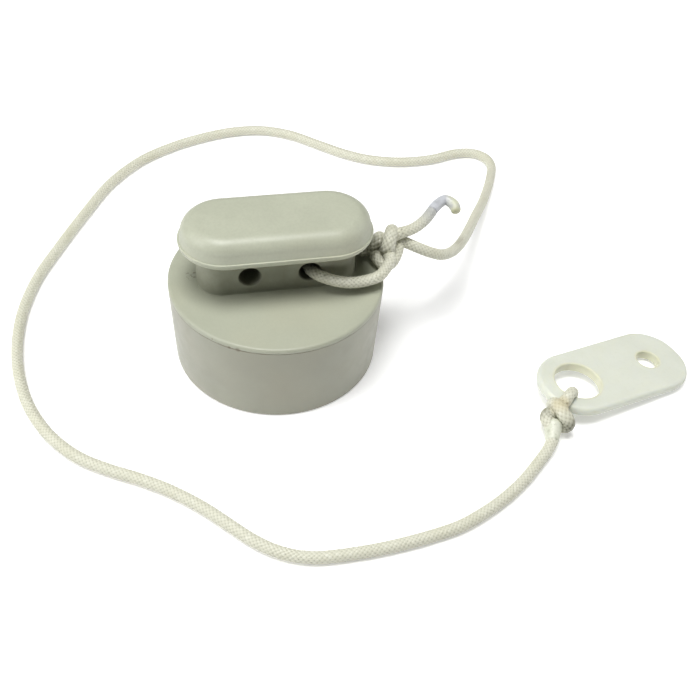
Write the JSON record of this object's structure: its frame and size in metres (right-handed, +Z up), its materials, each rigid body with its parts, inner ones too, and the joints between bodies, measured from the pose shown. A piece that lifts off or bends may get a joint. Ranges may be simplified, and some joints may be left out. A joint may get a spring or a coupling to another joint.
{
  "type": "pull cord switch actuator",
  "caption": "Round magnetic puck with a T grip, tethered by a braided cord to a flat anchor tab; pulling the cord takes the puck off its switch.",
  "frame": {"origin": "centre of the puck's flat underside, where it rests", "axes": "+Z up through the puck and grip, +X along the grip's long side"},
  "size_m": [0.1553, 0.1536, 0.0376],
  "materials": {
    "putty_plastic": "fine moulded grain, slightly dirty",
    "shell_plastic": "fine moulded grain, slightly scuffed",
    "screw_steel": "zinc plated",
    "cup_steel": "nickel plated",
    "magnet_ferrite": "ground ferrite",
    "foam": "open-cell foam",
    "tab_plastic": "natural nylon, slightly translucent",
    "cord_braid": "braided nylon, a little dirty",
    "cord_seal": "cord end stiffened with clear sealant",
    "cord_sleeve": "smooth shrink sleeve"
  },
  "bodies": {
    "puck": {"grip_housing": "putty_plastic", "body_shell": "shell_plastic", "base_cover": "shell_plastic", "cover_screw_1": "screw_steel", "cover_screw_2": "screw_steel", "cover_screw_3": "screw_steel", "magnet_cup": "cup_steel", "disc_magnet": "magnet_ferrite", "foam_pad": "foam", "pull_cord": "cord_braid", "stem_loop": "cord_braid", "stem_knot": "cord_braid", "cord_tail": "cord_braid", "tab_loop": "cord_braid", "tab_knot": "cord_braid", "sealed_tip": "cord_seal", "knot_sleeve": "cord_sleeve"},
    "tab": {"end_tab": "tab_plastic"}
  },
  "joints": [
    {"name": "tab_swivel", "type": "hinge", "parent": "puck", "child": "tab", "pos_m": [0.0651, -0.0273, 0.0024], "axis": [0.0758, 0.0203, 0.9969], "range_deg": [-55, 120]}
  ]
}
